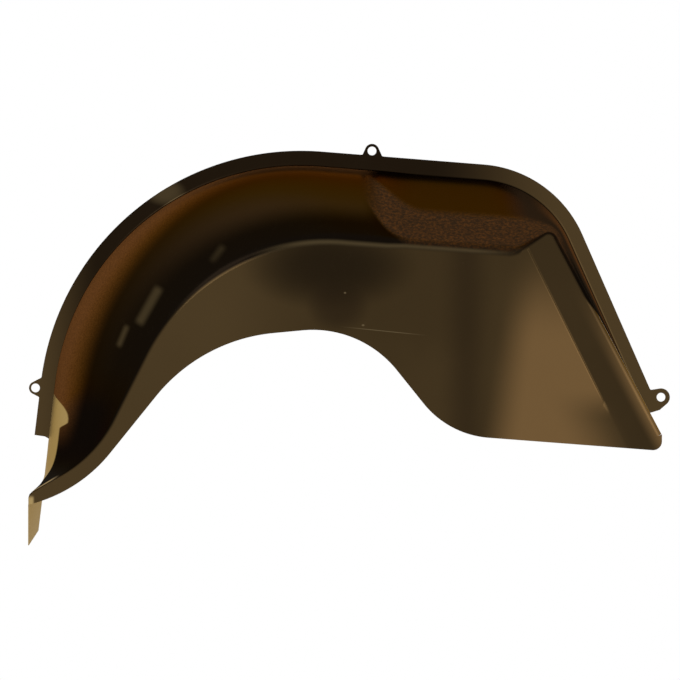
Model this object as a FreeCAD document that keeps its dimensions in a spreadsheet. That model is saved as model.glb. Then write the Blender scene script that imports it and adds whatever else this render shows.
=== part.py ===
"""Wheel housing panel: one drawn, trimmed and pierced sheet-steel pressing.

X runs along the car, Z is up, and Y is the press direction. The rim flange lies on Y = 0 with the drawn
form standing towards -Y. The origin is the centre of the locating hole in the top tab.
"""
import FreeCAD, Part
import math
import os
from FreeCAD import Placement, Rotation, Vector

NODE = "wheel_housing_panel"

# Driving sizes in millimetres and degrees
SIZES = {
    "gauge": 1.2,
    "draw_depth": 190.0,
    # Rim: arch and rear corner of the outer flange edge
    "arch_left": -565.7,
    "arch_top": 0.3,
    "arch_radius": 445.0,
    "corner_right": 374.3,
    "corner_top": -22.4,
    "corner_radius": 200.0,
    "flange_width": 25.0,
    # Front and rear lower ends of the rim
    "toe_x": -568.0,
    "toe_z": -645.0,
    "heel_x": 476.0,
    "heel_z": -470.0,
    "flange_toe_z": -488.0,
    "flange_heel_z": -450.0,
    "flange_end_slant": 10.0,
    # Outline of the flat outer face
    "face_left": -391.4,
    "face_top": -160.8,
    "face_radius": 326.0,
    "flare_right": -388.7,
    "flare_bottom": -563.2,
    "flare_radius": 211.0,
    "lip_width": 24.0,
    "lip_x": -546.0,
    "lip_z": -559.0,
    "lip_corner": 12.0,
    "step_x": 222.0,
    "step_z": -160.0,
    "step_radius": 20.0,
    "ear_x": 275.3,
    "ear_z": -163.5,
    "ear_radius": 12.0,
    "face_heel_x": 453.0,
    # Set-in part of the wall behind the top tab, and the set-back strip along the rear edge
    "pocket_x": 18.0,
    "pocket_run": 30.0,
    "strip_top_x": 240.3,
    "strip_top_z": -174.7,
    "strip_end_x": 360.1,
    "strip_end_z": -417.4,
    "strip_set": 0.6,
    # Wheel opening
    "crown_left": -404.5,
    "crown_top": -309.2,
    "crown_radius": 271.0,
    "brow_right": 72.6,
    "brow_top": -305.4,
    "brow_radius": 170.0,
    "sweep_left": 45.5,
    "sweep_bottom": -475.8,
    "sweep_radius": 145.0,
    "sill_z": -495.0,
    "sill_corner": 14.0,
    # Fixing tabs
    "hole": 15.0,
    "ring_top": 12.0,
    "ring_left": 11.0,
    "ring_right": 15.0,
    "left_tab_x": -571.9,
    "left_tab_z": -402.7,
    "right_tab_x": 491.1,
    "right_tab_z": -418.5,
    "tab_spread": 22.0,
}

# Points per run of the wall outline, from the toe round the arch to the heel, and the fullness of the wall at
# the ends of those runs: 1 is straight from flange to face, more is rounder
RUN_POINTS = (4, 3, 2, 6, 4, 12, 4, 4, 5, 3, 4, 4, 6)
FULLNESS = (1.0, 1.0, 1.0, 1.1, 1.6, 1.8, 1.4, 1.4, 1.0, 1.0, 1.0, 1.0, 1.0, 1.0)
DEPTH_SHARES = (0.0, 0.25, 0.5, 0.75, 1.0)
CORNER_SHARES = (0.2, 0.75)
LIP_FOOT = 6.0
CLEAR = 20.0
# Share of the pieces' volume that their overlaps may take up
JOIN_LOSS = 0.02

doc = FreeCAD.newDocument("WheelHousing")
sheet = doc.addObject("Spreadsheet::Sheet", "Sizes")
for row, (alias, value) in enumerate(SIZES.items(), start=1):
    sheet.set(f"A{row}", alias)
    sheet.set(f"B{row}", str(value))
    sheet.setAlias(f"B{row}", alias)
doc.recompute()


def size(alias):
    """Value of one spreadsheet cell."""
    return float(sheet.get(alias))


def at(x, z):
    """Point of an outline, drawn flat with X across and Z up."""
    return Vector(x, z, 0)


def place(name):
    """Point whose two sizes share a name."""
    return at(size(name + "_x"), size(name + "_z"))


def nest(name, side, level):
    """Centre of a round that touches an upright line on one side and a level line above or below it."""
    radius = size(name + "_radius")
    x = size(f"{name}_{side}") + (radius if side == "left" else -radius)
    z = size(f"{name}_{level}") + (radius if level == "bottom" else -radius)
    return at(x, z)


def aim(angle):
    """Unit vector at an angle."""
    return Vector(math.cos(angle), math.sin(angle), 0)


def belt(stations):
    """Straight runs and arcs of a belt laid round circles.

    Each station is a centre and a radius: above zero where the belt turns left round it, below zero where it
    turns right, and zero at a point. A run is its start, its end, its centre and its radius.
    """
    runs = []
    arrival = None
    for number, (centre, radius) in enumerate(stations):
        if number == len(stations) - 1:
            break
        following, next_radius = stations[number + 1]
        gap = following - centre
        heading = math.atan2(gap.y, gap.x) - math.asin((next_radius - radius) / gap.Length)
        left = aim(heading + math.pi / 2)
        departure = centre - left * radius
        if radius and arrival is not None:
            runs.append((arrival, departure, centre, radius))
        arrival = following - left * next_radius
        runs.append((departure, arrival, None, 0.0))
    return runs


def point_on(run, share):
    """Point at a share of a run's length."""
    start, end, centre, radius = run
    if centre is None:
        return start + (end - start) * share
    first = math.atan2(start.y - centre.y, start.x - centre.x)
    last = math.atan2(end.y - centre.y, end.x - centre.x)
    turn = (last - first) % (2 * math.pi) if radius > 0 else -((first - last) % (2 * math.pi))
    return centre + aim(first + turn * share) * abs(radius)


def split(run, shares):
    """A run cut at shares of its length."""
    marks = [point_on(run, share) for share in (0.0, *shares, 1.0)]
    return [(marks[k], marks[k + 1], run[2], run[3]) for k in range(len(marks) - 1)]


def rim(inset):
    """Belt of the rim, set in from the outer flange edge: left side, arch, top, corner, right side."""
    shift = at(inset - size("flange_width"), 0)
    return belt([
        (place("toe") + shift, 0),
        (nest("arch", "left", "top"), inset - size("arch_radius")),
        (nest("corner", "right", "top"), inset - size("corner_radius")),
        (place("heel") - shift, 0),
    ])


def face_runs(inset):
    """Outline of the outer face: side, lip corner, lip, flare, slope, arch, top, step, ear and rear edge."""
    lip = at(size("lip_x") + size("lip_corner"), size("lip_z") - size("lip_corner"))
    return belt([
        (at(size("lip_x") + inset, size("toe_z")), 0),
        (lip, inset - size("lip_corner")),
        (nest("flare", "right", "bottom"), size("flare_radius") + inset),
        (nest("face", "left", "top"), inset - size("face_radius")),
        (place("step"), size("step_radius") + inset),
        (place("ear"), inset - size("ear_radius")),
        (at(size("face_heel_x") - inset, size("heel_z")), 0),
    ])


def pocket_shares(run):
    """Shares of a top run where the pocket's end slope starts and stops."""
    length = run[1].x - run[0].x
    start = size("pocket_x") - run[0].x
    return start / length, (start + size("pocket_run")) / length


def wall_runs(inset):
    """Foot and front outlines of one skin of the wall, each cut into the same runs."""
    left, arch, top, corner, right = rim(size("flange_width") + inset)
    span = left[1].y - left[0].y
    lip = size("lip_z")
    levels = (lip, lip + LIP_FOOT, lip + 2 * LIP_FOOT, size("flange_toe_z"))
    shares = [(height - left[0].y) / span for height in levels]
    foot = [*split(left, shares), arch, *split(top, pocket_shares(top)), *split(corner, CORNER_SHARES), right]
    face = face_runs(inset)
    front = [*face[:6], *split(face[6], pocket_shares(face[6])), *face[7:]]
    return foot, front


def along(runs):
    """Points along an outline."""
    points = [point_on(run, k / count) for run, count in zip(runs, RUN_POINTS) for k in range(count)]
    return points + [runs[-1][1]]


def fullness_along():
    """Fullness of the wall at each of those points."""
    values = []
    for number, count in enumerate(RUN_POINTS):
        start, end = FULLNESS[number:number + 2]
        values += [start + (end - start) * k / count for k in range(count)]
    return values + [FULLNESS[-1]]


def curve_at(foot, front, share, deep):
    """Smooth curve of one skin of the wall at a share of its depth.

    The skin starts inside the thickness of the flange, so that the two overlap.
    """
    depth = size("gauge") / 2 * (1 - share) + deep * share
    points = []
    for low, high, fullness in zip(foot, front, fullness_along()):
        flat = low + (high - low) * share ** fullness
        points.append(Vector(flat.x, -depth, flat.y))
    steps = [0.0]
    for k in range(1, len(foot)):
        steps.append(steps[-1] + ((foot[k] - foot[k - 1]).Length + (front[k] - front[k - 1]).Length) / 2)
    curve = Part.BSplineCurve()
    curve.interpolate(Points=points, Parameters=steps)
    return curve


def skin(inset, deep):
    """One skin of the wall, lofted through its curves, with its front edge at a depth."""
    foot, front = (along(runs) for runs in wall_runs(inset))
    curves = [Part.Wire([curve_at(foot, front, share, deep).toShape()]) for share in DEPTH_SHARES]
    return Part.makeLoft(curves, False, False).Faces[0]


def front_edge(face):
    """Edge of a skin that borders the flat outer face."""
    return min(face.Edges, key=lambda edge: edge.CenterOfMass.y)


def apron(edge):
    """Lines that close a skin's front edge below the wheel opening."""
    ends = sorted((vertex.Point for vertex in edge.Vertexes), key=lambda point: point.x)
    low = Vector(0, 0, -CLEAR * 4)
    corners = [ends[0], ends[0] + low, ends[1] + low, ends[1]]
    return [Part.makeLine(corners[k], corners[k + 1]) for k in range(3)]


def pan_shape():
    """Drawn wall and flat outer face as one sheet, before the wheel opening is cut."""
    outer = skin(0.0, size("draw_depth"))
    inner = skin(size("gauge"), size("draw_depth") - size("gauge"))
    outer_front, inner_front = front_edge(outer), front_edge(inner)
    outer_apron, inner_apron = apron(outer_front), apron(inner_front)
    faces = [outer, inner]
    faces.append(Part.Face(Part.Wire([outer_front, *outer_apron])))
    faces.append(Part.Face(Part.Wire([inner_front, *inner_apron])))
    for edge, other in zip(outer_apron, inner_apron):
        faces.append(Part.makeRuledSurface(edge, other))
    for edge in outer.Edges:
        if edge.isSame(outer_front):
            continue
        other = min(inner.Edges, key=lambda item: (item.CenterOfMass - edge.CenterOfMass).Length)
        faces.append(Part.makeRuledSurface(edge, other))
    shell = Part.makeShell(faces)
    shell.sewShape()
    solid = Part.makeSolid(shell)
    solid.fix(0.001, 0.001, 0.001)
    return solid


def closed(runs):
    """An outline with the line that closes it."""
    return [*runs, (runs[-1][1], runs[0][0], None, 0.0)]


def lines(points):
    """Straight runs through points."""
    return [(points[k], points[k + 1], None, 0.0) for k in range(len(points) - 1)]


def level(run, height):
    """Point where the line of a straight run passes a height."""
    share = (height - run[0].y) / (run[1].y - run[0].y)
    return run[0] + (run[1] - run[0]) * share


def flange_runs():
    """Flat flange: its outer edge between two slanting ends, and back along the foot of the wall."""
    left, arch, top, corner, right = rim(0)
    inner = rim(size("flange_width") + size("gauge") * 2)
    cut = size("flange_end_slant") / 2
    toe = [level(inner[0], size("flange_toe_z") - cut), level(left, size("flange_toe_z") + cut), left[1]]
    heel = [right[0], level(right, size("right_tab_z")), level(inner[4], size("flange_heel_z")), inner[4][0]]
    back = [(end, start, centre, -radius) for start, end, centre, radius in reversed(inner[1:4])]
    return closed([*lines(toe), arch, top, corner, *lines(heel), *back])


def tab_runs(centre, ring, inward):
    """Outline of a tab: a round end and two straight sides that run into the flange."""
    into = aim(math.radians(inward))
    side = Vector(into.y, -into.x, 0) * size("tab_spread")
    seat = centre + into * (size("hole") / 2 + ring)
    return closed(belt([(seat + side, 0), (centre, -ring), (seat - side, 0)]))


def opening_runs():
    """Edge of the wheel opening, from the lip over the crown to the sill, closed round below."""
    edge = size("flare_radius") + size("lip_width")
    inner = size("lip_x") - CLEAR
    flare = nest("flare", "right", "bottom")
    start = at(inner, flare.y - math.sqrt(edge ** 2 - (inner - flare.x) ** 2))
    rear = size("face_heel_x")
    sill = at(rear - size("sill_corner"), size("sill_z") + size("sill_corner"))
    runs = belt([
        (flare, edge),
        (nest("crown", "left", "top"), -size("crown_radius")),
        (nest("brow", "right", "top"), -size("brow_radius")),
        (nest("sweep", "left", "bottom"), size("sweep_radius")),
        (sill, size("sill_corner")),
        (at(rear, size("heel_z")), 0),
    ])
    first = (start, runs[0][0], flare, edge)
    ground = size("toe_z") - CLEAR * 8
    rest = lines([
        runs[-1][1],
        at(rear + CLEAR, size("heel_z")),
        at(rear + CLEAR, ground),
        at(inner, ground),
        start,
    ])
    return [first, *runs, *rest]


def strip_runs():
    """Set-back strip along the rear edge of the face."""
    top, end = place("strip_top"), place("strip_end")
    across = Vector(top.y - end.y, end.x - top.x, 0).normalize() * CLEAR * 6
    up = (top - end).normalize() * CLEAR * 3
    return closed(lines([top + up, top + up + across, end + across, end]))


def plane_of(body):
    """The body's own XZ plane, where +X is across, +Z is up and a pad grows towards -Y."""
    return next(item for item in body.Origin.OriginFeatures if item.Role == "XZ_Plane")


def add_feature(body, kind, name, runs, depth, length):
    """Pad or pocket of a closed outline, from a depth in front of Y = 0 over a length towards -Y."""
    sketch = body.newObject("Sketcher::SketchObject", name + "Sketch")
    sketch.AttachmentSupport = (plane_of(body), "")
    sketch.MapMode = "FlatFace"
    sketch.setExpression("AttachmentOffset.Base.z", depth)
    for run in runs:
        if run[2] is None:
            sketch.addGeometry(Part.LineSegment(run[0], run[1]))
        else:
            sketch.addGeometry(Part.Arc(run[0], point_on(run, 0.5), run[1]))
    feature = body.newObject(kind, name)
    feature.Profile = sketch
    feature.setExpression("Length", length)
    doc.recompute()
    return feature


def add_pocket(body, name, runs, depth, length):
    """Pocket of a closed outline from a depth towards -Y, which must take material away."""
    before = body.Shape.Volume
    pocket = add_feature(body, "PartDesign::Pocket", name, runs, depth, length)
    pocket.Reversed = True
    doc.recompute()
    if body.Shape.Volume > before - 1:
        raise RuntimeError(f"{name} cut nothing")


def add_cut(name, base, tool):
    """One shape less another, which must take material away."""
    cut = doc.addObject("Part::Cut", name)
    cut.Base = base
    cut.Tool = tool
    doc.recompute()
    if not 1 < bulk(base.Shape) - bulk(cut.Shape) < bulk(tool.Shape):
        raise RuntimeError(f"{name} cut the wrong amount")
    return cut


def bulk(shape):
    """Volume from a fine mesh, which holds for a thin drawn wall."""
    points, facets = shape.tessellate(0.2)
    return sum(points[a].dot(points[b].cross(points[c])) for a, b, c in facets) / 6


# Drawn pan
pan = doc.addObject("Part::Feature", "Pan")
pan.Shape = pan_shape()

# Rim flange with its three tabs and their holes
tabs = (
    ("TopTab", at(0, 0), size("ring_top"), -90),
    ("LeftTab", place("left_tab"), size("ring_left"), 0),
    ("RightTab", place("right_tab"), size("ring_right"), 205),
)
flange = doc.addObject("PartDesign::Body", "Flange")
add_feature(flange, "PartDesign::Pad", "Rim", flange_runs(), "0", "Sizes.gauge")
for name, centre, ring, inward in tabs:
    add_feature(flange, "PartDesign::Pad", name, tab_runs(centre, ring, inward), "0", "Sizes.gauge")
for name, centre, ring, inward in tabs:
    hole = [(centre + at(size("hole") / 2, 0), centre - at(size("hole") / 2, 0), centre, size("hole") / 2),
            (centre - at(size("hole") / 2, 0), centre + at(size("hole") / 2, 0), centre, size("hole") / 2)]
    add_pocket(flange, name + "Hole", hole, "0", "Sizes.gauge * 2")

sheet_metal = doc.addObject("Part::MultiFuse", "FlangedPan")
sheet_metal.Shapes = [pan, flange]
doc.recompute()

# Wheel opening, and the set-back strip along the rear edge of the face
opening = doc.addObject("PartDesign::Body", "OpeningCutter")
floor = "Sizes.draw_depth - Sizes.gauge * 1.5"
add_feature(opening, "PartDesign::Pad", "Opening", opening_runs(), floor, "Sizes.gauge * 3")
strip = doc.addObject("PartDesign::Body", "StripCutter")
step = "Sizes.draw_depth - Sizes.strip_set"
add_feature(strip, "PartDesign::Pad", "Strip", strip_runs(), step, "Sizes.gauge")
opened = add_cut("Opened", sheet_metal, opening)
panel = add_cut("Panel", opened, strip)
panel.Label = NODE

for item in doc.Objects:
    if "Invalid" in item.State or "Error" in item.State:
        raise RuntimeError(f"{item.Name} failed: {item.State}")
if panel.Shape.isNull() or not panel.Shape.isValid() or len(panel.Shape.Solids) != 1:
    raise RuntimeError(f"{NODE} is not one valid solid")
joined = bulk(pan.Shape) + bulk(flange.Shape)
if abs(bulk(sheet_metal.Shape) / joined - 1) > JOIN_LOSS:
    raise RuntimeError(f"{NODE} lost material where the flange joins")
os.makedirs("parts", exist_ok=True)
panel.Shape.Solids[0].exportStep(f"parts/{NODE}.step")
print(NODE, round(bulk(panel.Shape)), "mm3", len(panel.Shape.Faces), "faces", panel.Shape.BoundBox)
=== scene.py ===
"""Wheel housing panel: one glossy dark bronze pressing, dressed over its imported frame.

The scene is in metres in the frame of the CAD model: X along the car, Z up and Y the press direction.
Outlines are worked out in millimetres as complex numbers, X plus Z times j.
"""
import cmath
import logging
import math
from dataclasses import dataclass
from enum import Enum

import bmesh
import bpy
import numpy as np
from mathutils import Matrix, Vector


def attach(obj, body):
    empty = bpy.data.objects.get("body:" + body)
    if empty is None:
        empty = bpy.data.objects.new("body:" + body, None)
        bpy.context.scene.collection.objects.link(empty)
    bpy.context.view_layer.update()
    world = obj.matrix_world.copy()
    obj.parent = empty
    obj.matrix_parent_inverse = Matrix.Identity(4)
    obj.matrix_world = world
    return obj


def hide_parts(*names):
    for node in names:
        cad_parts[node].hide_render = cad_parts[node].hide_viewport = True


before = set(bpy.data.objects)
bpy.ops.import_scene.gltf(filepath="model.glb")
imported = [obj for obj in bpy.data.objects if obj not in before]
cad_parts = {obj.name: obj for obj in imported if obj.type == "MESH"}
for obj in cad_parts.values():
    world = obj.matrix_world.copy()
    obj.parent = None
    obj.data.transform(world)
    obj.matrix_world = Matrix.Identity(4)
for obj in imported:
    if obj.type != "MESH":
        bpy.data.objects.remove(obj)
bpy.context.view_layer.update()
LOG = logging.getLogger("wheel_housing")
NODE = "wheel_housing_panel"
MM = 0.001
Colour = tuple[float, float, float]
Socket = bpy.types.NodeSocket
Row = tuple[np.ndarray, np.ndarray, np.ndarray]
Loop = list[bmesh.types.BMVert]


class Zone(Enum):
    """Flat parts of the sheet, stored on its points for the finish to read."""

    FLANGE = 0.0
    FACE = 1.0


@dataclass(frozen=True)
class Run:
    """One straight or round piece of an outline."""

    start: complex
    end: complex
    centre: complex | None = None
    radius: float = 0.0

    def turn(self) -> float:
        """Measures the turn of an arc.

        Returns:
            The angle turned through, above zero to the left.
        """
        angle = cmath.phase((self.end - self.centre) / (self.start - self.centre))
        if self.radius > 0:
            return angle % (2 * math.pi)
        return -((-angle) % (2 * math.pi))

    def at(self, share: np.ndarray) -> np.ndarray:
        """Finds points at shares of the run.

        Args:
            share: Shares of its length from 0 to 1.

        Returns:
            The points.
        """
        if self.centre is None:
            return self.start + (self.end - self.start) * share
        return self.centre + (self.start - self.centre) * np.exp(1j * self.turn() * share)

    def length(self) -> float:
        """Measures the run.

        Returns:
            Its length.
        """
        if self.centre is None:
            return abs(self.end - self.start)
        return abs(self.turn() * self.radius)

    def split(self, shares: list[float]) -> list["Run"]:
        """Args: shares: Where to cut. Returns: The cut pieces."""
        marks = self.at(np.array([0.0, *shares, 1.0]))
        return [Run(complex(a), complex(b), self.centre, self.radius) for a, b in zip(marks[:-1], marks[1:])]


def belt(stations: list[tuple[complex, float]]) -> list[Run]:
    """Lays a belt of straight runs and arcs round circles.

    Args:
        stations: Centres and radii, above zero for a left turn, below zero for a right turn and zero
            for a point.

    Returns:
        The runs in order.
    """
    runs: list[Run] = []
    arrival: complex | None = None
    for (centre, radius), (following, next_radius) in zip(stations[:-1], stations[1:]):
        gap = following - centre
        heading = cmath.phase(gap) - math.asin((next_radius - radius) / abs(gap))
        left = cmath.exp(1j * (heading + math.pi / 2))
        departure = centre - left * radius
        if radius and arrival is not None:
            runs.append(Run(arrival, departure, centre, radius))
        arrival = following - left * next_radius
        runs.append(Run(departure, arrival))
    return runs


class Outline:
    """A smooth line through runs, measured along its length."""

    REACH = 1.5

    def __init__(self, runs: list[Run], step: float = 1.0) -> None:
        """Lays points along the runs.

        Args:
            runs: Its pieces.
            step: Distance between its points.
        """
        counts = [max(2, math.ceil(run.length() / step)) for run in runs]
        parts = [run.at(np.arange(count) / count) for run, count in zip(runs, counts)]
        self.points = np.concatenate([*parts, [runs[-1].end]])
        self.lengths = np.concatenate([[0.0], np.cumsum(np.abs(np.diff(self.points)))])
        self.breaks = np.concatenate([[0.0], np.cumsum([run.length() for run in runs])])

    def at(self, lengths: np.ndarray) -> np.ndarray:
        """Args: lengths: Distances along it. Returns: The points there."""
        x = np.interp(lengths, self.lengths, self.points.real)
        return x + 1j * np.interp(lengths, self.lengths, self.points.imag)

    def left(self, lengths: np.ndarray) -> np.ndarray:
        """Finds the side to the left of the line.

        Args:
            lengths: Distances along it.

        Returns:
            Unit vectors to the left there.
        """
        ahead = self.at(np.minimum(lengths + self.REACH, self.lengths[-1]))
        along = ahead - self.at(np.maximum(lengths - self.REACH, 0.0))
        return 1j * along / np.abs(along)


@dataclass(frozen=True)
class PanelSizes:
    """Sizes of the pressing in millimetres, as in the CAD model."""

    gauge: float = 1.2
    draw_depth: float = 190.0
    arch: complex = -120.7 - 444.7j
    arch_radius: float = 445.0
    corner: complex = 174.3 - 222.4j
    corner_radius: float = 200.0
    flange_width: float = 25.0
    toe: complex = -568.0 - 645.0j
    heel: complex = 476.0 - 470.0j
    flange_toe_z: float = -488.0
    flange_heel_z: float = -450.0
    flange_end_slant: float = 10.0
    face: complex = -65.4 - 486.8j
    face_radius: float = 326.0
    flare: complex = -599.7 - 352.2j
    flare_radius: float = 211.0
    lip_width: float = 24.0
    lip_x: float = -546.0
    lip_z: float = -559.0
    lip_corner: float = 12.0
    lip_foot: float = 6.0
    step: complex = 222.0 - 160.0j
    step_radius: float = 20.0
    ear: complex = 275.3 - 163.5j
    ear_radius: float = 12.0
    face_heel_x: float = 453.0
    pocket_x: float = 18.0
    pocket_run: float = 30.0
    crown: complex = -133.5 - 580.2j
    crown_radius: float = 271.0
    brow: complex = -97.4 - 475.4j
    brow_radius: float = 170.0
    sweep: complex = 190.5 - 330.8j
    sweep_radius: float = 145.0
    sill_z: float = -495.0
    sill_corner: float = 14.0
    crease_top: complex = 240.3 - 174.7j
    crease_end: complex = 360.1 - 417.4j
    crease_set: float = 0.6
    crease_width: float = 1.2
    crease_fade: float = 30.0
    hole: float = 15.0
    tab_spread: float = 22.0
    foot_bend: float = 5.0
    corner_shares: tuple[float, ...] = (0.2, 0.75)
    # Fullness of the wall and bend radius of its front edge, at the ends of its runs
    fullness: tuple[float, ...] = (1, 1, 1, 1.1, 1.6, 1.8, 1.4, 1.4, 1, 1, 1, 1, 1, 1)
    shoulder: tuple[float, ...] = (3, 3, 3, 3, 5, 5, 14, 14, 12, 12, 6, 5, 7, 10)


@dataclass(frozen=True)
class Tab:
    """A fixing tab: its hole's centre, its ring's radius and the angle in towards the flange."""

    centre: complex
    ring: float
    inward: float


TABS = (
    Tab(-571.9 - 402.7j, 11.0, 0.0),
    Tab(0j, 12.0, -90.0),
    Tab(491.1 - 418.5j, 15.0, 205.0),
)


@dataclass(frozen=True)
class WallColumns:
    """The drawn wall in columns, each from its foot on the flange to its front on the face.

    The foot bend reaches outward on the flange and ends at the first share of the draw. The shoulder
    starts at the last share and reaches inward on the face.
    """

    low: np.ndarray
    high: np.ndarray
    fullness: np.ndarray
    outward: np.ndarray
    inward: np.ndarray
    first: np.ndarray
    last: np.ndarray
    flanged: np.ndarray
    faced: np.ndarray
    depth: float

    FOOT_ROWS = 8
    WALL_ROWS = 20
    SHOULDER_ROWS = 11
    FLANGE_REACH = 1.5
    FACE_REACH = 1.25

    def at(self, share: np.ndarray) -> tuple[np.ndarray, np.ndarray]:
        """Args: share: Shares of the draw. Returns: Flat places and depths there."""
        return self.low + (self.high - self.low) * share ** self.fullness, self.depth * share

    @staticmethod
    def bend(start: np.ndarray, knee: np.ndarray, end: np.ndarray, q: float) -> np.ndarray:
        """Args: start, knee, end: Points of a bend. q: Share of it. Returns: The points there."""
        return start * (1 - q) ** 2 + 2 * q * (1 - q) * knee + end * q ** 2

    def rows(self) -> list[Row]:
        """Lays the rows of points from the flange to the face.

        Returns:
            Flat places, depths and shares of the draw, row by row.
        """
        zero = np.zeros_like(self.first)
        rows: list[Row] = [(self.low + self.outward * self.FLANGE_REACH, zero, zero)]
        flat, deep = self.at(self.first)
        for q in np.linspace(0.0, 1.0, self.FOOT_ROWS)[:-1]:
            edge = self.bend(self.low + self.outward, self.low, flat, q)
            rows.append((edge, deep * q ** 2, self.first * q ** 2))
        for q in np.linspace(0.0, 1.0, self.WALL_ROWS):
            share = self.first + (self.last - self.first) * q
            rows.append((*self.at(share), share))
        flat, deep = self.at(self.last)
        for q in np.linspace(0.0, 1.0, self.SHOULDER_ROWS)[1:]:
            edge = self.bend(flat, self.high, self.high + self.inward, q)
            below = self.depth - (self.depth - deep) * (1 - q) ** 2
            rows.append((edge, below, self.last + (1 - self.last) * q))
        rows.append((self.high + self.inward * self.FACE_REACH, zero + self.depth, zero + 1.0))
        return rows


class SheetMesh:
    """The sheet's middle surface while it is put together, with the share of the draw on each point."""

    ON_FACE = 0.9999
    SET_START = 0.9
    SET_RUN = 0.09
    MERGE = 2e-5
    SLIVER = 1e-6

    def __init__(self, sizes: PanelSizes) -> None:
        """Starts an empty mesh.

        Args:
            sizes: Sizes of the pressing.
        """
        self.s = sizes
        self.bm = bmesh.new()
        self.layer = self.bm.verts.layers.float.new("share")

    def point(self, flat: complex, deep: float, share: float) -> bmesh.types.BMVert:
        """Adds a point.

        Args:
            flat: Its place in millimetres.
            deep: Its depth from the flange.
            share: Its share of the draw.

        Returns:
            The point.
        """
        vert = self.bm.verts.new((flat.real * MM, -(deep + self.s.gauge / 2) * MM, flat.imag * MM))
        vert[self.layer] = share
        return vert

    def loop(self, places: np.ndarray, deep: float, zone: Zone) -> Loop:
        """Args: places: Flat places. deep: Their depth. zone: Their part. Returns: The new points."""
        return [self.point(complex(place), deep, zone.value) for place in places]

    def grid(self, rows: list[Row]) -> list[Loop]:
        """Adds the wall.

        Args:
            rows: Flat places, depths and shares of the draw, row by row.

        Returns:
            The points, row by row.
        """
        grid = [[self.point(complex(a), float(b), float(c)) for a, b, c in zip(*row)] for row in rows]
        for lower, upper in zip(grid[:-1], grid[1:]):
            for k in range(len(lower) - 1):
                self.bm.faces.new((lower[k], lower[k + 1], upper[k + 1], upper[k]))
        return grid

    def fill(self, loops: list[Loop]) -> None:
        """Fills a flat outline.

        Args:
            loops: The outer loop and the loops of its holes.
        """
        bm = self.bm
        edges = []
        for loop in loops:
            for a, b in zip(loop, [*loop[1:], loop[0]]):
                edges.append(bm.edges.get((a, b)) or bm.edges.new((a, b)))
        bmesh.ops.triangle_fill(bm, use_beauty=True, use_dissolve=False, edges=edges, normal=(0, -1, 0))

    def cut_face(self, place: complex, normal: complex) -> None:
        """Cuts the flat face along a line.

        Args:
            place: A point of the line.
            normal: The direction square to it.
        """
        flat = [f for f in self.bm.faces if all(v[self.layer] > self.ON_FACE for v in f.verts)]
        edges = (edge for face in flat for edge in face.edges)
        verts = (vert for face in flat for vert in face.verts)
        bmesh.ops.bisect_plane(
            self.bm,
            geom=list({*flat, *edges, *verts}),
            plane_co=(place.real * MM, 0.0, place.imag * MM),
            plane_no=(normal.real, 0.0, normal.imag),
        )

    def set_back(self) -> None:
        """Sets the strip behind the crease back, and fades it out below the end of the crease."""
        s = self.s
        run = s.crease_end - s.crease_top
        left = 1j * run / abs(run)
        half = s.crease_width / 2
        low = s.crease_end.imag - s.crease_fade
        for offset in (-half, half):
            self.cut_face(s.crease_top + left * offset, left)
        for z in (s.crease_end.imag, low):
            self.cut_face(complex(0.0, z), 1j)
        for vert in self.bm.verts:
            place = complex(vert.co.x, vert.co.z) / MM
            behind = (((place - s.crease_top) * left.conjugate()).real + half) / s.crease_width
            above = (place.imag - low) / s.crease_fade
            front = (vert[self.layer] - self.SET_START) / self.SET_RUN
            shares = np.clip([behind, above, front], 0.0, 1.0)
            vert.co.y += s.crease_set * MM * float(shares.prod())

    def close(self) -> bpy.types.Mesh:
        """Merges the parts of the sheet.

        Returns:
            The middle surface.
        """
        bm = self.bm
        bmesh.ops.remove_doubles(bm, verts=bm.verts, dist=self.MERGE)
        bmesh.ops.dissolve_degenerate(bm, edges=bm.edges, dist=self.SLIVER)
        bmesh.ops.recalc_face_normals(bm, faces=bm.faces)
        mesh = bpy.data.meshes.new("sheet")
        bm.to_mesh(mesh)
        bm.free()
        return mesh


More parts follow.
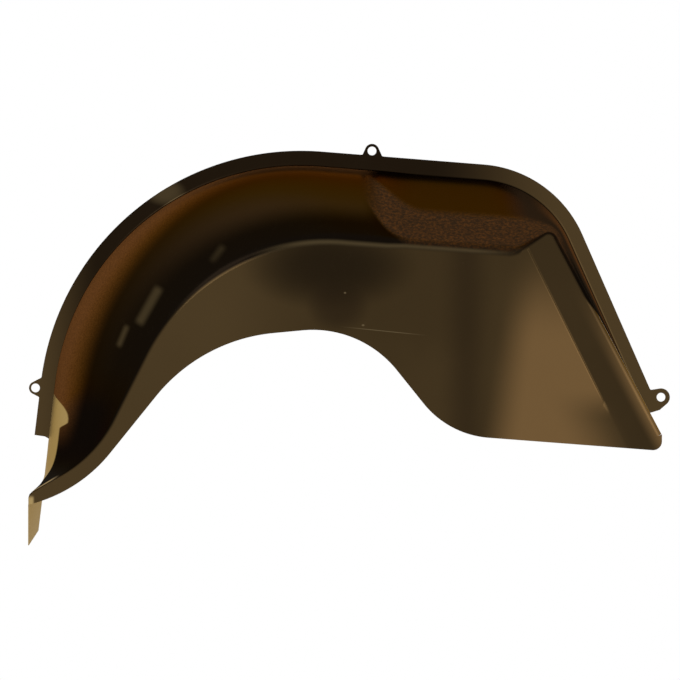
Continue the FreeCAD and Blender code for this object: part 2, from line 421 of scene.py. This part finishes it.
class PanelSheet:
    """The pressing as one sheet: rim flange with tabs, drawn wall and flat outer face."""

    COLUMN = 4.0
    SMOOTHING = 6.0
    EDGE_STEP = 2.0
    OPENING_STEP = 3.0
    TAB_CLEAR = 0.3
    HOLE_SIDES = 28
    SHARP_ANGLE = math.radians(24)

    def __init__(self, sizes: PanelSizes) -> None:
        """Args: sizes: Sizes of the pressing."""
        self.s = sizes

    def rim(self, inset: float) -> list[Run]:
        """Lays the rim of the flange.

        Args:
            inset: Distance in from the outer flange edge.

        Returns:
            Left side, arch, top, corner and right side.
        """
        s = self.s
        shift = inset - s.flange_width
        return belt([
            (s.toe + shift, 0),
            (s.arch, inset - s.arch_radius),
            (s.corner, inset - s.corner_radius),
            (s.heel - shift, 0),
        ])

    def face(self, inset: float) -> list[Run]:
        """Lays the outline of the face.

        Args:
            inset: Distance in from the face's edge.

        Returns:
            The runs of the outline.
        """
        s = self.s
        return belt([
            (complex(s.lip_x + inset, s.toe.imag), 0),
            (complex(s.lip_x + s.lip_corner, s.lip_z - s.lip_corner), inset - s.lip_corner),
            (s.flare, s.flare_radius + inset),
            (s.face, inset - s.face_radius),
            (s.step, s.step_radius + inset),
            (s.ear, inset - s.ear_radius),
            (complex(s.face_heel_x - inset, s.heel.imag), 0),
        ])

    def pocket_shares(self, run: Run) -> list[float]:
        """Finds the end slope of the pocket on a run.

        Args:
            run: A top run.

        Returns:
            Shares of the run where the slope starts and stops.
        """
        length = run.end.real - run.start.real
        start = self.s.pocket_x - run.start.real
        return [start / length, (start + self.s.pocket_run) / length]

    def wall_outlines(self) -> tuple[Outline, Outline]:
        """Lays the two edges of the wall.

        Returns:
            Foot and front of the wall's middle surface, cut into the same runs.
        """
        s = self.s
        left, arch, top, corner, right = self.rim(s.flange_width + s.gauge / 2)
        levels = (s.lip_z, s.lip_z + s.lip_foot, s.lip_z + 2 * s.lip_foot, s.flange_toe_z)
        shares = [(z - left.start.imag) / (left.end.imag - left.start.imag) for z in levels]
        foot = [*left.split(shares), arch, *top.split(self.pocket_shares(top))]
        foot += [*corner.split(list(s.corner_shares)), right]
        runs = self.face(s.gauge / 2)
        front = [*runs[:6], *runs[6].split(self.pocket_shares(runs[6])), *runs[7:]]
        return Outline(foot), Outline(front)

    def smooth(self, values: np.ndarray) -> np.ndarray:
        """Evens out numbers along the wall and keeps the ends.

        Args:
            values: One number per column.

        Returns:
            The evened numbers.
        """
        reach = int(self.SMOOTHING * 3)
        weights = np.exp(-0.5 * (np.arange(-reach, reach + 1) / self.SMOOTHING) ** 2)
        before = 2 * values[0] - values[reach:0:-1]
        after = 2 * values[-1] - values[-2:-reach - 2:-1]
        return np.convolve(np.concatenate([before, values, after]), weights / weights.sum(), "valid")

    def opening(self) -> np.ndarray:
        """Lays the edge of the wheel opening.

        Returns:
            Points of the edge from the lip to the heel.
        """
        s = self.s
        edge = s.flare_radius + s.lip_width
        start = complex(s.lip_x, s.flare.imag - math.sqrt(edge ** 2 - (s.lip_x - s.flare.real) ** 2))
        runs = belt([
            (s.flare, edge),
            (s.crown, -s.crown_radius),
            (s.brow, -s.brow_radius),
            (s.sweep, s.sweep_radius),
            (complex(s.face_heel_x - s.sill_corner, s.sill_z + s.sill_corner), s.sill_corner),
            (complex(s.face_heel_x, s.heel.imag), 0),
        ])
        return Outline([Run(start, runs[0].start, s.flare, edge), *runs], self.OPENING_STEP).points

    def tab_line(self, tab: Tab) -> np.ndarray:
        """Lays the edge of a tab.

        Args:
            tab: The tab.

        Returns:
            Points up one side of it, round its end and down the other side.
        """
        s = self.s
        into = cmath.exp(1j * math.radians(tab.inward))
        seat = tab.centre + into * (s.hole / 2 + tab.ring)
        side = -1j * into * s.tab_spread
        return Outline(belt([(seat + side, 0), (tab.centre, -tab.ring), (seat - side, 0)])).points

    def flange_edge(self) -> np.ndarray:
        """Lays the outer flange edge with the tabs in it.

        Returns:
            Points of the edge from toe to heel.
        """
        toe_z = self.s.flange_toe_z + self.s.flange_end_slant / 2
        line = Outline(self.rim(0.0), self.EDGE_STEP).points
        before_crest = np.arange(len(line)) < int(np.argmax(line.imag))
        line = line[np.where(before_crest, line.imag > toe_z, line.imag > TABS[-1].centre.imag)]
        for tab in TABS:
            points = self.tab_line(tab)
            near = np.abs(points[:, None] - line[None, :]).argmin(axis=1)
            along = line[np.minimum(near + 1, len(line) - 1)] - line[np.maximum(near - 1, 0)]
            beyond = (np.conj(along) * (points - line[near])).imag
            outside = points[beyond > self.TAB_CLEAR * np.abs(along)]
            first, last = (int(np.abs(line - outside[k]).argmin()) for k in (0, -1))
            if first > last:
                first, last, outside = last, first, outside[::-1]
            line = np.concatenate([line[:first], outside, line[last + 1:]])
        return line

    def wall_columns(self) -> WallColumns:
        """Sets out the drawn wall.

        Returns:
            Its columns from the lip to the heel.
        """
        s = self.s
        foot, front = self.wall_outlines()
        middle = (foot.breaks + front.breaks) / 2
        place = np.linspace(0.0, middle[-1], int(middle[-1] / self.COLUMN))
        low_at = self.smooth(np.interp(place, middle, foot.breaks))
        high_at = self.smooth(np.interp(place, middle, front.breaks))
        low, high = foot.at(low_at), front.at(high_at)
        crest = int(np.argmax(low.imag))
        before_crest = np.arange(len(place)) < crest
        flanged = np.where(before_crest, low.imag > s.flange_toe_z, low.imag > s.flange_heel_z)
        faced = high.imag > self.opening()[0].imag
        faced[crest:] = True
        bend = np.where(flanged, s.foot_bend, 0.0)
        shoulder = np.where(faced, np.interp(place, middle, s.shoulder), 0.0)
        depth = s.draw_depth - s.gauge
        length = np.hypot(depth, np.abs(high - low))
        return WallColumns(
            low=low,
            high=high,
            fullness=self.smooth(np.interp(place, middle, s.fullness)),
            outward=foot.left(low_at) * bend,
            inward=-front.left(high_at) * shoulder,
            first=bend / length,
            last=1.0 - shoulder / length,
            flanged=flanged,
            faced=faced,
            depth=depth,
        )

    def build(self) -> bpy.types.Object:
        """Builds the sheet.

        Returns:
            The sheet as a thick, smooth mesh object.
        """
        wall = self.wall_columns()
        sheet = SheetMesh(self.s)
        grid = sheet.grid(wall.rows())

        # Flange with its holes
        span = np.flatnonzero(wall.flanged)
        inner = grid[0][span[0]:span[-1] + 1]
        outer = sheet.loop(self.flange_edge(), 0.0, Zone.FLANGE)
        turns = np.exp(2j * math.pi * np.arange(self.HOLE_SIDES) / self.HOLE_SIDES) * self.s.hole / 2
        holes = [sheet.loop(tab.centre + turns, 0.0, Zone.FLANGE) for tab in TABS]
        sheet.fill([[*inner, *reversed(outer)], *holes])

        # Face with the wheel opening
        border = grid[-1][int(np.flatnonzero(wall.faced)[0]):]
        edge = sheet.loop(self.opening(), wall.depth, Zone.FACE)
        sheet.fill([[*border, *reversed(edge)]])
        sheet.set_back()
        return self.thicken(sheet.close())

    def thicken(self, mesh: bpy.types.Mesh) -> bpy.types.Object:
        """Gives the sheet its gauge.

        Args:
            mesh: The middle surface.

        Returns:
            The thick sheet as a plain mesh object.
        """
        obj = bpy.data.objects.new("pressed_sheet", mesh)
        bpy.context.collection.objects.link(obj)
        solid = obj.modifiers.new("gauge", "SOLIDIFY")
        solid.thickness = self.s.gauge * MM
        solid.offset = 0.0
        graph = bpy.context.evaluated_depsgraph_get()
        thick = bpy.data.meshes.new_from_object(obj.evaluated_get(graph))
        obj.modifiers.remove(solid)
        obj.data = thick
        bpy.data.meshes.remove(mesh)
        thick.shade_smooth()
        thick.set_sharp_from_angle(angle=self.SHARP_ANGLE)
        return obj


class Graph:
    """Short names for the nodes of one material."""

    MIX_INPUTS = (0, 6, 7)
    MIX_RESULT = 2

    def __init__(self, name: str) -> None:
        """Starts a material.

        Args:
            name: Name of the new material.
        """
        self.material = bpy.data.materials.new(name)
        self.material.use_nodes = True
        self.tree = self.material.node_tree
        self.shader = self.tree.nodes["Principled BSDF"]
        self.place = self.add("ShaderNodeTexCoord").outputs["Object"]
        axes = self.add("ShaderNodeSeparateXYZ", Vector=self.place).outputs
        self.x, self.z = axes["X"], axes["Z"]

    def add(self, kind: str, **inputs: object) -> bpy.types.Node:
        """Adds a node.

        Args:
            kind: Node type.
            inputs: Sockets by name, as links or values.

        Returns:
            The node.
        """
        node = self.tree.nodes.new(kind)
        for name, value in inputs.items():
            self.join(value, node.inputs[name])
        return node

    def join(self, value: object, socket: Socket) -> None:
        """Gives a socket a link or a value.

        Args:
            value: A link's start or a value.
            socket: Where it goes.
        """
        if isinstance(value, Socket):
            self.tree.links.new(value, socket)
        else:
            socket.default_value = value

    def math(self, operation: str, a: object, b: object) -> Socket:
        """Adds a math node.

        Args:
            operation: Math operation.
            a: Its first input.
            b: Its second input.

        Returns:
            The result.
        """
        node = self.tree.nodes.new("ShaderNodeMath")
        node.operation = operation
        self.join(a, node.inputs[0])
        self.join(b, node.inputs[1])
        return node.outputs[0]

    def chain(self, operation: str, values: tuple[object, ...]) -> Socket:
        """Takes numbers together, one after the other.

        Args:
            operation: Math operation.
            values: Two or more numbers.

        Returns:
            The result.
        """
        result, *others = values
        for value in others:
            result = self.math(operation, result, value)
        return result

    def times(self, *values: object) -> Socket:
        """Args: values: Numbers. Returns: Their product."""
        return self.chain("MULTIPLY", values)

    def total(self, *values: object) -> Socket:
        """Args: values: Numbers. Returns: Their sum."""
        return self.chain("ADD", values)

    def most(self, *values: object) -> Socket:
        """Args: values: Numbers. Returns: The largest."""
        return self.chain("MAXIMUM", values)

    def rest(self, share: object) -> Socket:
        """Args: share: A share. Returns: What is left of 1."""
        return self.math("SUBTRACT", 1.0, share)

    def span(self, value: object, start: float, end: float) -> bpy.types.Node:
        """Adds a node that maps a stretch of numbers.

        Args:
            value: A number.
            start: Where it gives 0.
            end: Where it gives 1.

        Returns:
            The node.
        """
        node = self.tree.nodes.new("ShaderNodeMapRange")
        flip = start > end
        items = (value, min(start, end), max(start, end), float(flip), float(not flip))
        for socket, item in zip(node.inputs, items):
            self.join(item, socket)
        return node

    def fade(self, value: object, start: float, end: float) -> Socket:
        """Makes a soft step.

        Args:
            value: A number.
            start: Where it gives 0.
            end: Where it gives 1.

        Returns:
            The step.
        """
        node = self.span(value, start, end)
        node.interpolation_type = "SMOOTHSTEP"
        return node.outputs[0]

    def ramp(self, value: object, start: float, end: float, power: float) -> Socket:
        """Args: value, start, end: As for a fade. power: Bend of the curve. Returns: The curve."""
        return self.math("POWER", self.span(value, start, end).outputs[0], power)

    def band(self, value: object, low: float, high: float, soft: float) -> Socket:
        """Args: value: A number. low, high: A band. soft: Width of its edges. Returns: 1 inside it."""
        upper = self.fade(value, high + soft, high - soft)
        return self.times(self.fade(value, low - soft, low + soft), upper)

    def line(self, a: complex, b: complex) -> Socket:
        """Measures from a line.

        Args:
            a: A point in millimetres.
            b: A second point.

        Returns:
            Distance to the left of the line from a to b, in metres.
        """
        left = 1j * (b - a) / abs(b - a)
        over = self.times(self.math("SUBTRACT", self.x, a.real * MM), left.real)
        up = self.times(self.math("SUBTRACT", self.z, a.imag * MM), left.imag)
        return self.total(over, up)

    def spot(self, centre: complex, wide: float, high: float) -> Socket:
        """Makes a soft oval.

        Args:
            centre: Its place in millimetres.
            wide: Its half width.
            high: Its half height.

        Returns:
            1 at the centre, fading to 0.
        """
        over = self.math("DIVIDE", self.math("SUBTRACT", self.x, centre.real * MM), wide * MM)
        up = self.math("DIVIDE", self.math("SUBTRACT", self.z, centre.imag * MM), high * MM)
        return self.fade(self.total(self.times(over, over), self.times(up, up)), 1.0, 0.0)

    def bar(self, a: complex, b: complex, half: float, soft: float) -> Socket:
        """Makes a soft bar.

        Args:
            a: One end in millimetres.
            b: The other end.
            half: Half its width.
            soft: Width of its edges.

        Returns:
            1 inside the bar.
        """
        across = self.band(self.line(a, b), -half * MM, half * MM, soft * MM)
        along = self.band(self.line(a, a - 1j * (b - a)), 0.0, abs(b - a) * MM, soft * MM)
        return self.times(across, along)

    def noise(self, scale: float, detail: float = 3.0, rough: float = 0.5, twist: float = 0.0) -> Socket:
        """Args: scale: Per metre. detail: Octaves. rough: Their weight. twist: Bend. Returns: 0 to 1."""
        sizes = {"Scale": scale, "Detail": detail, "Roughness": rough, "Distortion": twist}
        return self.add("ShaderNodeTexNoise", Vector=self.place, **sizes).outputs["Fac"]

    def mix(self, share: object, a: object, b: object) -> Socket:
        """Mixes two colours.

        Args:
            share: Share of b.
            a: A colour.
            b: A second colour.

        Returns:
            The mixed colour.
        """
        node = self.tree.nodes.new("ShaderNodeMix")
        node.data_type = "RGBA"
        for number, value in zip(self.MIX_INPUTS, (share, a, b)):
            self.join((*value, 1.0) if isinstance(value, tuple) else value, node.inputs[number])
        return node.outputs[self.MIX_RESULT]


def lit(colour: Colour, factor: float) -> Colour:
    """Args: colour: A colour. factor: How much lighter it gets. Returns: The new colour."""
    return tuple(factor * part for part in colour)


@dataclass(frozen=True)
class BronzeCoat:
    """Glossy dark bronze coat whose colour holds painted light: a black wall with brown and grainy orange
    painted reflections, a pale painted reflection at the inner front corner, a painted golden sheen, painted
    glints and painted shade.
    """

    # black, dark, brown, orange, gold and tan are painted reflections and painted shade; bronze is the
    # coat's own tone; scuff is wear
    black: Colour = (0.006, 0.004, 0.0025)
    dark: Colour = (0.018, 0.011, 0.0055)
    bronze: Colour = (0.052, 0.033, 0.0135)
    gold: Colour = (0.158, 0.092, 0.036)
    tan: Colour = (0.40, 0.285, 0.12)
    brown: Colour = (0.030, 0.017, 0.0085)
    orange: Colour = (0.160, 0.063, 0.0175)
    scuff: Colour = (0.20, 0.15, 0.08)
    # Colour of the painted glints: painted highlight line, painted glint and painted window reflections
    painted_glint: Colour = (0.085, 0.060, 0.028)
    edge_tint: Colour = (0.55, 0.45, 0.32)
    # Roughness of the plain coat, and what clouds, grain and marks add to it
    gloss: float = 0.17
    cloud_rough: float = 0.10
    grain_rough: float = 0.25
    mark_rough: float = 0.20
    mattness: float = 0.97
    # Heights of the relief in metres
    fine_grain: float = 0.00002
    pocket_grain: float = 0.00022
    ripple: float = 0.0005
    crease_height: float = 0.0012

    def wall_tone(self, g: Graph, deep: Socket) -> tuple[Socket, Socket, Socket]:
        """Colours the drawn wall with painted reflections and painted shade.

        Args:
            g: The material.
            deep: Share of the draw.

        Returns:
            The wall's colour, where it is grainy and where it is matt.
        """
        crown = g.fade(g.x, -0.50, -0.16)
        in_pocket = g.fade(g.x, -0.022, 0.022)
        before = g.rest(in_pocket)

        # Painted reflection in grainy orange beside the flange, wide at the front of the arch and a thin
        # fringe over its crown, and a brown painted reflection on the wall's half next to the flange from
        # the crown to the pocket
        reach = g.total(deep, g.times(crown, 0.36))
        thinned = g.math("SUBTRACT", before, g.times(crown, 0.15))
        fringe = g.times(g.fade(deep, 0.012, 0.05), g.fade(reach, 0.68, 0.30), thinned)
        fringe = g.times(fringe, g.fade(g.z, -0.51, -0.43))
        under = g.times(g.fade(deep, 0.86, 0.62), crown, before)

        # Pocket, in painted reflections: plain brown above, grainy orange below, all orange at its rounded
        # front end
        turn = g.times(g.ramp(g.x, 0.085, -0.02, 2.0), 0.50)
        corner = g.times(g.ramp(g.x, 0.070, -0.022, 2.6), 0.50)
        lower = g.fade(g.total(deep, turn), 0.48, 0.62)
        lower = g.times(lower, g.fade(g.total(deep, corner), 1.0, 0.92))
        lower = g.times(lower, in_pocket, g.fade(g.x, 0.33, 0.28))
        upper = g.times(in_pocket, g.fade(deep, 0.72, 0.50))
        # Orange painted reflection on the rear wall next to the flange
        rear = g.times(g.fade(g.x, 0.26, 0.33), g.fade(deep, 0.42, 0.12))

        # Black is the wall's plain tone, a painted dark reflection; the brown and orange painted reflections
        # go over it
        tone = g.mix(g.most(under, upper), self.black, self.brown)
        tone = g.mix(g.times(rear, 0.7), tone, self.orange)
        fine = g.fade(g.noise(520.0, 3.0, 0.65), 0.30, 0.70)
        tone = g.mix(fringe, tone, g.mix(fine, lit(self.orange, 0.6), lit(self.orange, 1.25)))
        speck = g.fade(g.noise(200.0, 4.0, 0.7), 0.38, 0.74)
        tone = g.mix(lower, tone, g.mix(speck, lit(self.brown, 1.3), lit(self.orange, 0.8)))
        # Painted shade: a black line in the foot bend beside the flange
        gap = g.band(deep, 0.004, 0.020, 0.004)
        behind = g.fade(g.x, 0.21, 0.26)
        front = g.times(g.fade(g.x, -0.38, -0.45), g.fade(g.z, -0.38, -0.44))
        return g.mix(gap, tone, self.black), lower, g.most(lower, fringe, behind, front)

    def face_tone(self, g: Graph, crease: Socket) -> Socket:
        """Colours the outer face with painted reflections, painted shade and painted highlights.

        Args:
            g: The material.
            crease: Distance behind the crease.

        Returns:
            The face's colour.
        """
        cloud = g.fade(g.noise(4.0), 0.35, 0.65)
        tone = g.mix(cloud, lit(self.bronze, 0.85), self.bronze)
        # Painted reflections: lighter bronze to the left, a black blob, a dark patch and an upright dark
        # band
        tone = g.mix(g.times(g.fade(g.x, -0.10, -0.26), 0.5), tone, lit(self.bronze, 1.6))
        tone = g.mix(g.times(g.spot(-70 - 205j, 150.0, 75.0), 0.7), tone, self.black)
        tone = g.mix(g.times(g.spot(-58 - 268j, 55.0, 45.0), 0.6), tone, self.dark)
        tone = g.mix(g.times(g.band(g.x, 0.13, 0.16, 0.035), 0.75), tone, self.dark)

        # Painted golden sheen, a painted reflection, from an upright soft edge to the crease, and a soft
        # edge below the crease's end
        upright = g.fade(g.line(228.0 - 231.0j, 199.0 - 424.0j), -0.026, 0.040)
        under = g.fade(g.z, -0.395, -0.450)
        sharp = g.times(g.fade(crease, 0.003, -0.003), g.rest(under))
        soft = g.times(g.fade(crease, 0.015, -0.085), under)
        sheen = g.times(upright, g.fade(g.z, -0.165, -0.33), g.total(sharp, soft))
        # Painted shade on the strip behind the crease
        tone = g.mix(g.times(g.fade(crease, -0.002, 0.004), 0.25), tone, self.dark)
        tone = g.mix(sheen, tone, self.gold)
        # Painted highlight along the face's rounded right edge
        edge = g.line(303.0 - 190.0j, 453.0 - 470.0j)
        rim = g.times(g.fade(edge, -0.026, -0.001), g.fade(g.z, -0.22, -0.44))
        return g.mix(g.times(rim, 0.7), tone, lit(self.gold, 1.2))

    def add_painted_glints(self, g: Graph, tone: Socket, deep: Socket, flange: Socket) -> Socket:
        """Adds painted glints: a painted highlight line along the shoulder, a painted glint on the flange
        and painted window reflections as bars on the wall.

        Args:
            g: The material.
            tone: The coat's colour.
            deep: Share of the draw.
            flange: Where the flange is.

        Returns:
            The colour with the painted glints.
        """
        line = g.times(g.band(deep, 0.976, 0.990, 0.008), g.band(g.x, -0.15, 0.20, 0.05), 0.7)
        spot = g.times(g.spot(-352 - 70j, 40.0, 26.0), flange, 0.6)
        bars = g.most(
            g.bar(-344 - 238j, -375 - 295j, 7.0, 6.0),
            g.bar(-396 - 299j, -409 - 331j, 4.0, 5.0),
            g.times(g.bar(-257 - 197j, -241 - 172j, 5.0, 6.0), 0.5),
        )
        bars = g.times(bars, g.band(deep, 0.45, 0.92, 0.06), 0.5)
        for share in (line, spot, bars):
            tone = g.mix(share, tone, self.painted_glint)
        return tone

    def front_corner(self, g: Graph, deep: Socket) -> Socket:
        """Finds the pale painted reflection at the inner side of the front corner.

        Args:
            g: The material.
            deep: Share of the draw.

        Returns:
            1 on the strip beside the flange, on the edge of the lip and on its tail.
        """
        tip = g.times(g.ramp(g.z, -0.456, -0.408, 2.2), 0.46)
        waist = g.times(g.fade(g.z, -0.456, -0.468), 0.12)
        reach = g.total(deep, g.total(tip, waist))
        strip = g.times(g.fade(reach, 0.51, 0.48), g.fade(deep, 0.004, 0.012))
        strip = g.times(strip, g.fade(g.z, -0.412, -0.416))
        ledge = g.times(g.band(deep, 0.88, 0.97, 0.02), g.fade(g.z, -0.535, -0.548))
        tail = g.times(g.fade(g.x, -0.535, -0.540), g.fade(g.z, -0.565, -0.572))
        return g.times(g.most(strip, ledge, tail), g.fade(g.x, -0.44, -0.49))

    def wear(self, g: Graph) -> Socket:
        """Finds the marks of use.

        Args:
            g: The material.

        Returns:
            Share of scuff: one long scratch, hairlines and specks.
        """
        scratch = g.band(g.line(-46 - 301j, 72 - 313j), -0.0005, 0.0005, 0.0005)
        scratch = g.times(scratch, g.band(g.x, -0.03, 0.06, 0.03), 0.5)
        hairline = g.times(g.band(g.noise(14.0, 6.0, 0.6, 2.5), 0.4995, 0.5005, 0.001), 0.06)
        specks = g.most(g.spot(-46.5 - 247j, 2.5, 2.0), g.spot(-18 - 298j, 3.0, 2.0))
        return g.most(scratch, hairline, g.times(specks, 0.5))

    def relief(self, g: Graph, grainy: Socket, step: Socket, cloud: Socket) -> Socket:
        """Makes the small relief of the coat.

        Args:
            g: The material.
            grainy: Where the wall is grainy.
            step: Where the face stands before the crease.
            cloud: Slow waves.

        Returns:
            The bent normals.
        """
        fine = g.times(g.noise(900.0, 2.0), self.fine_grain)
        grain = g.times(g.noise(420.0, 3.0, 0.6), grainy, self.pocket_grain)
        height = g.total(fine, g.times(step, self.crease_height))
        height = g.total(height, g.total(grain, g.times(cloud, self.ripple)))
        return g.add("ShaderNodeBump", Height=height, Strength=1.0, Distance=1.0).outputs[0]

    def material(self) -> bpy.types.Material:
        """Builds the finish.

        Returns:
            The node material.
        """
        g = Graph("dark_bronze_coat")
        share = g.add("ShaderNodeAttribute")
        share.attribute_name = "share"
        deep = share.outputs["Fac"]
        crease = g.line(PanelSizes.crease_top, PanelSizes.crease_end)
        # The face's tones, with the painted highlight of its right edge, reach over the lower rear bend
        rear_bend = g.times(g.fade(g.z, -0.25, -0.36), g.fade(g.x, 0.27, 0.31), 0.15)
        face = g.fade(g.total(deep, rear_bend), 0.985, 0.999)
        flange = g.fade(deep, 0.012, 0.002)

        tone, grainy, matt = self.wall_tone(g, deep)
        tone = g.mix(face, tone, self.face_tone(g, crease))
        # Painted light on the flange: painted shade over the arch, lit bronze at both ends
        bright = g.most(g.fade(g.x, -0.46, -0.58), g.fade(g.x, 0.10, 0.34))
        tone = g.mix(flange, tone, g.mix(bright, lit(self.dark, 0.75), lit(self.bronze, 1.3)))
        tone = self.add_painted_glints(g, tone, deep, flange)
        # Pale painted reflection at the inner front corner
        pale = self.front_corner(g, deep)
        tone = g.mix(pale, tone, self.tan)
        marks = self.wear(g)
        tone = g.mix(marks, tone, self.scuff)

        cloud = g.noise(6.0)
        rough = g.total(g.times(cloud, self.cloud_rough), self.gloss, g.times(grainy, self.grain_rough))
        rough = g.total(rough, g.times(g.most(marks, pale), self.mark_rough))
        step = g.times(g.fade(crease, 0.003, -0.003), face, g.fade(g.z, -0.455, -0.395))
        matt = g.times(matt, g.rest(g.most(face, flange, pale)))
        g.join(tone, g.shader.inputs["Base Color"])
        g.join(rough, g.shader.inputs["Roughness"])
        g.join(self.relief(g, grainy, step, cloud), g.shader.inputs["Normal"])
        g.join(g.rest(g.times(matt, self.mattness)), g.shader.inputs["Metallic"])
        g.shader.inputs["Specular IOR Level"].default_value = 0.0
        g.shader.inputs["Specular Tint"].default_value = (*self.edge_tint, 1.0)
        return g.material


@dataclass(frozen=True)
class Lamp:
    """A soft square lamp that points at the panel."""

    name: str
    place: tuple[float, float, float]
    power: float
    width: float


@dataclass(frozen=True)
class Studio:
    """Camera, soft light, pale floor and white background."""

    aim: tuple[float, float, float] = (-0.0544, 0.0, -0.3213)
    distance: float = 2.6
    frame_width: float = 1.156
    sensor_width: float = 36.0
    floor_z: float = -1.3
    floor_radius: float = 1.15
    floor_sides: int = 96
    floor_colour: Colour = (0.9, 0.9, 0.89)
    floor_rough: float = 0.9
    floor_glow: float = 0.6
    sky: float = 0.55
    sky_colour: Colour = (1.0, 0.97, 0.93)
    lamps: tuple[Lamp, ...] = (
        Lamp("key", (-1.4, -1.8, 1.4), 9.0, 1.0),
        Lamp("fill", (1.8, -1.6, 0.2), 4.0, 1.2),
        Lamp("back", (0.3, 1.8, 1.2), 6.0, 1.0),
    )

    def build(self) -> None:
        """Builds the stage."""
        self.camera()
        self.world()
        self.floor()
        for lamp in self.lamps:
            self.lamp(lamp)

    def camera(self) -> None:
        """Adds the camera at the photograph's place."""
        data = bpy.data.cameras.new("camera")
        data.sensor_width = self.sensor_width
        data.lens = self.sensor_width * self.distance / self.frame_width
        obj = bpy.data.objects.new("camera", data)
        obj.location = (self.aim[0], -self.distance, self.aim[2])
        obj.rotation_euler = (math.pi / 2, 0.0, 0.0)
        bpy.context.collection.objects.link(obj)
        bpy.context.scene.camera = obj

    @staticmethod
    def seen(tree: bpy.types.NodeTree) -> Socket:
        """Finds where the background itself is seen.

        Args:
            tree: A node tree.

        Returns:
            1 where it is seen directly, in gloss or through glass.
        """
        path = tree.nodes.new("ShaderNodeLightPath")
        result = path.outputs["Is Camera Ray"]
        for name in ("Is Glossy Ray", "Is Transmission Ray"):
            node = tree.nodes.new("ShaderNodeMath")
            node.operation = "MAXIMUM"
            tree.links.new(result, node.inputs[0])
            tree.links.new(path.outputs[name], node.inputs[1])
            result = node.outputs[0]
        return result

    @staticmethod
    def blend(tree: bpy.types.NodeTree, share: Socket, lighting: Socket, shown: Socket, out: str) -> None:
        """Mixes what lights the panel with what is seen.

        Args:
            tree: A node tree.
            share: Share of what is seen.
            lighting: The shader that lights the panel.
            shown: The shader that is seen.
            out: Name of the tree's output node.
        """
        mix = tree.nodes.new("ShaderNodeMixShader")
        for socket, source in zip(mix.inputs, (share, lighting, shown)):
            tree.links.new(source, socket)
        tree.links.new(mix.outputs[0], tree.nodes[out].inputs["Surface"])

    def world(self) -> None:
        """Sets a white background and an even light."""
        world = bpy.data.worlds.new("studio")
        world.use_nodes = True
        bpy.context.scene.world = world
        tree = world.node_tree
        light = tree.nodes["Background"]
        light.inputs["Color"].default_value = (*self.sky_colour, 1.0)
        light.inputs["Strength"].default_value = self.sky
        white = tree.nodes.new("ShaderNodeBackground")
        white.inputs["Color"].default_value = (1.0, 1.0, 1.0, 1.0)
        white.inputs["Strength"].default_value = 1.0
        self.blend(tree, self.seen(tree), light.outputs[0], white.outputs[0], "World Output")

    def floor_finish(self) -> bpy.types.Material:
        """Makes the floor's pale finish.

        Returns:
            The node material.
        """
        material = bpy.data.materials.new("pale_floor")
        material.use_nodes = True
        tree = material.node_tree
        shader = tree.nodes["Principled BSDF"]
        shader.inputs["Base Color"].default_value = (*self.floor_colour, 1.0)
        shader.inputs["Roughness"].default_value = self.floor_rough
        glow = tree.nodes.new("ShaderNodeEmission")
        share = tree.nodes.new("ShaderNodeMath")
        share.operation = "MULTIPLY"
        share.inputs[1].default_value = self.floor_glow
        tree.links.new(self.seen(tree), share.inputs[0])
        self.blend(tree, share.outputs[0], shader.outputs[0], glow.outputs[0], "Material Output")
        return material

    def floor(self) -> None:
        """Adds a round pale floor that keeps the panel's shadow."""
        bm = bmesh.new()
        bmesh.ops.create_circle(bm, cap_ends=True, segments=self.floor_sides, radius=self.floor_radius)
        mesh = bpy.data.meshes.new("floor")
        bm.to_mesh(mesh)
        bm.free()
        mesh.materials.append(self.floor_finish())
        obj = bpy.data.objects.new("floor", mesh)
        obj.location = (self.aim[0], 0.0, self.floor_z)
        bpy.context.collection.objects.link(obj)

    def lamp(self, lamp: Lamp) -> None:
        """Adds a lamp.

        Args:
            lamp: What to add.
        """
        data = bpy.data.lights.new(lamp.name, "AREA")
        data.energy = lamp.power
        data.size = lamp.width
        obj = bpy.data.objects.new(lamp.name, data)
        obj.location = lamp.place
        towards = Vector(self.aim) - Vector(lamp.place)
        obj.rotation_euler = towards.to_track_quat("-Z", "Y").to_euler()
        bpy.context.collection.objects.link(obj)


def main() -> None:
    """Builds the dressed panel and its stage."""
    logging.basicConfig(level=logging.INFO, format="%(name)s: %(message)s")
    bpy.context.scene.view_settings.view_transform = "Standard"
    sheet = PanelSheet(PanelSizes()).build()
    sheet.data.materials.clear()
    sheet.data.materials.append(BronzeCoat().material())
    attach(sheet, "root")
    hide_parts(NODE)
    LOG.info("%s: %d faces", sheet.name, len(sheet.data.polygons))
    studio = Studio()
    studio.build()
    LOG.info("studio: %d lamps", len(studio.lamps))


if __name__ == "__main__":
    main()
